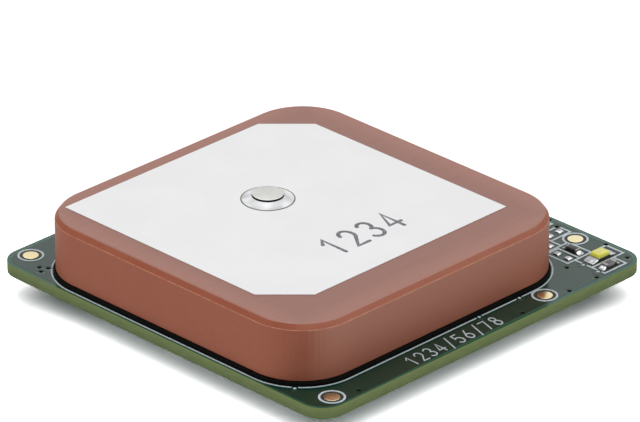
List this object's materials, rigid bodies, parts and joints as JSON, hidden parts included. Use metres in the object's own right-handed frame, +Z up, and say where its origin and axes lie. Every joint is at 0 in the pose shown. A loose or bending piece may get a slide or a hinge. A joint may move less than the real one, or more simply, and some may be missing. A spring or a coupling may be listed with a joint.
{
  "type": "gps module",
  "caption": "Square circuit board with a ceramic patch antenna stuck on top, a soldered feed pin, lamp and chips, and a shielded receiver and wire connector underneath.",
  "frame": {"origin": "under the middle of the circuit board, on the surface that the shield's cover rests on", "axes": "+Z up out of the antenna; -X out of the connector's mouth; +Y towards the strip with the lamp and chips"},
  "size_m": [0.03, 0.03, 0.0076],
  "materials": {
    "board": "glossy solder mask on glass fibre",
    "print": "matt printed ink",
    "gold": "gold flash",
    "ceramic": "ground, unglazed",
    "silver": "fired silver, matt",
    "adhesive": "foam tape, matt",
    "pin": "tinned",
    "solder": "bright solder",
    "tin": "tin plated",
    "lamp_base": "moulded",
    "lamp_lens": "cast resin",
    "resistor": "glass coat",
    "ferrite": "fired",
    "shield": "tinned sheet",
    "chip": "moulded epoxy",
    "tray": "fired",
    "lid": "gold-plated sheet",
    "filter": "fired",
    "cell": "drawn sheet",
    "capacitor": "fired",
    "housing": "moulded"
  },
  "bodies": {
    "root": {"circuit_board": "board", "silkscreen": "print", "test_pads": "gold", "antenna_ceramic": "ceramic", "antenna_electrode": "silver", "antenna_ground_plane": "silver", "adhesive_pad": "adhesive", "feed_pin": "pin", "feed_solder_top": "solder", "feed_solder_bottom": "solder", "led_base": "lamp_base", "led_terminals": "tin", "led_lens": "lamp_lens", "chip_resistor_body": "resistor", "chip_resistor_ends": "tin", "ferrite_bead_body": "ferrite", "ferrite_bead_ends": "tin", "solder_fillets": "solder", "bare_solder_pads": "solder", "shield_fence": "shield", "shield_cover": "shield", "receiver_chip": "chip", "oscillator_base": "tray", "oscillator_lid": "lid", "watch_crystal_base": "tray", "watch_crystal_lid": "lid", "saw_filter": "filter", "low_noise_amplifier": "chip", "flash_memory": "chip", "regulator_body": "chip", "regulator_leads": "tin", "backup_cell": "cell", "backup_cell_tabs": "cell", "capacitor_bodies": "capacitor", "capacitor_ends": "tin", "connector_housing": "housing", "connector_contacts": "gold", "connector_anchors": "tin"}
  },
  "joints": []
}
